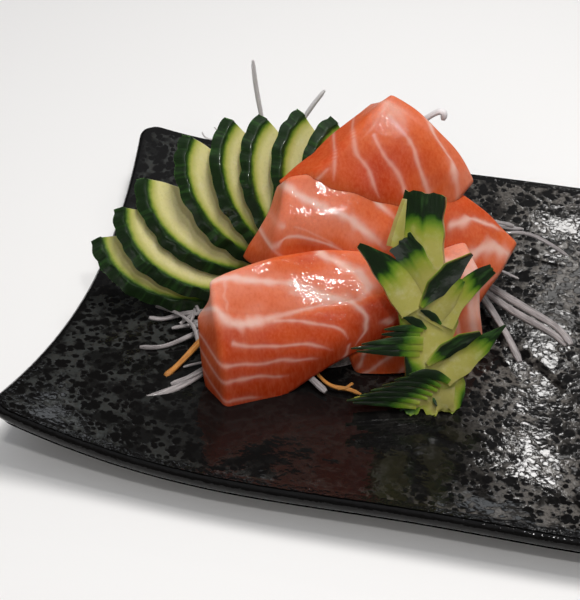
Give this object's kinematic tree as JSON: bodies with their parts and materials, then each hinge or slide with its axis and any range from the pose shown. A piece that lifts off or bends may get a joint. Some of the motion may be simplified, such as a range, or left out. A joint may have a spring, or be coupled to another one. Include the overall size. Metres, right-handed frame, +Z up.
{
  "type": "plate of salmon sashimi",
  "caption": "Glazed dark rectangular plate with turned-up corners, carrying draped salmon slices over shredded daikon, a fan of cucumber half-moons and a cut cucumber garnish.",
  "frame": {"origin": "middle of the plate's foot, on the surface it stands on", "axes": "+X along the plate's length, +Y away from the viewer's side, +Z up"},
  "size_m": [0.2662, 0.1754, 0.0796],
  "materials": {
    "plate_glaze": "glossy black glaze mottled with brown grey",
    "cucumber": "moist pale flesh with a dark green rind",
    "salmon": "wet orange flesh with thin pale fat lines",
    "garnish": "moist pale green flesh with dark green rind strips",
    "daikon": "moist translucent white shreds with a few orange ones"
  },
  "bodies": {
    "root": {"plate": "plate_glaze", "cucumber_slice_1": "cucumber", "cucumber_slice_2": "cucumber", "cucumber_slice_3": "cucumber", "cucumber_slice_4": "cucumber", "cucumber_slice_5": "cucumber", "cucumber_slice_6": "cucumber", "cucumber_slice_7": "cucumber", "cucumber_slice_8": "cucumber", "cucumber_slice_9": "cucumber", "salmon_slice_front": "salmon", "salmon_slice_middle": "salmon", "salmon_slice_back": "salmon", "salmon_slice_lower": "salmon", "salmon_slice_side": "salmon", "cucumber_garnish": "garnish", "shredded_daikon": "daikon"}
  },
  "joints": []
}
